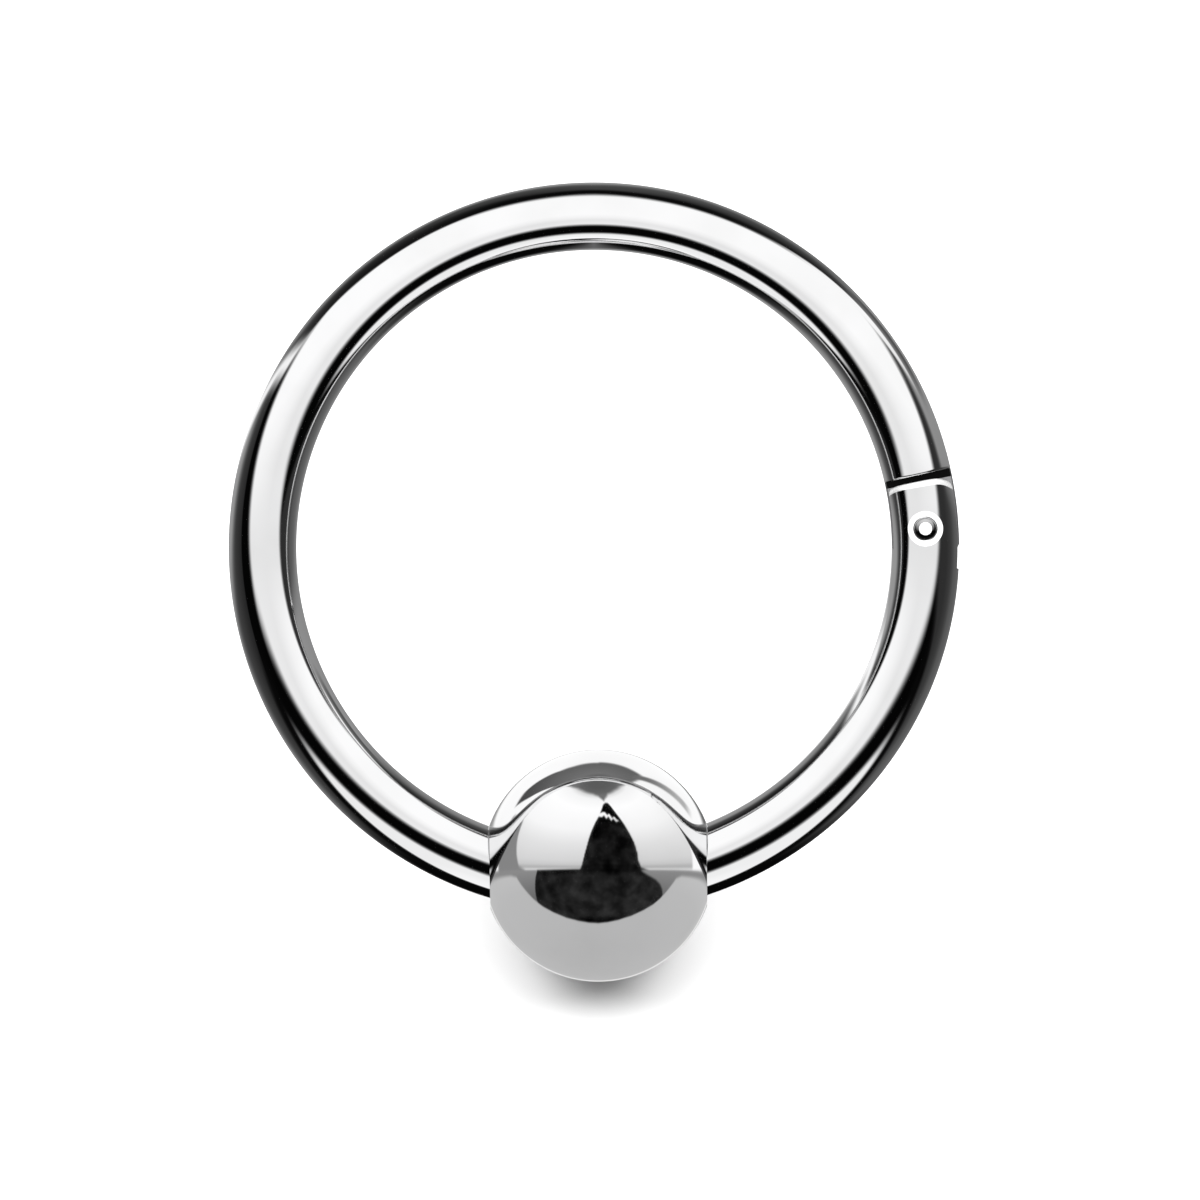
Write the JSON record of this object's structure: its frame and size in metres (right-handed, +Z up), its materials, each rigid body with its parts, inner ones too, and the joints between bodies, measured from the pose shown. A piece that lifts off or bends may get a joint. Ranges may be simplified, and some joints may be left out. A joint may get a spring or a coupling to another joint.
{
  "type": "clicker ring",
  "caption": "Polished steel wire hoop with a round ball at the bottom; the arc beside the ball swings out on a riveted hinge pin, so the ring opens and clicks shut.",
  "frame": {"origin": "middle of the ring's footprint, on the surface on which it lies", "axes": "+Z up, out of the ring's front face; +Y from the ball towards the wire opposite it; +X towards the hinge"},
  "size_m": [0.0128, 0.014, 0.0041],
  "materials": {
    "hoop_steel": "mirror-polished steel",
    "pin_steel": "polished steel, a little duller than the hoop",
    "ball_steel": "mirror-polished steel"
  },
  "bodies": {
    "ring": {"main_ring": "hoop_steel"},
    "segment": {"hinged_segment": "hoop_steel", "hinge_pin": "pin_steel", "ball": "ball_steel"}
  },
  "joints": [
    {"name": "segment_hinge", "type": "hinge", "parent": "ring", "child": "segment", "pos_m": [0.00584, 0.00086, 0.00131], "axis": [0, 0.1265, 0.992], "range_deg": [0, 90]}
  ]
}
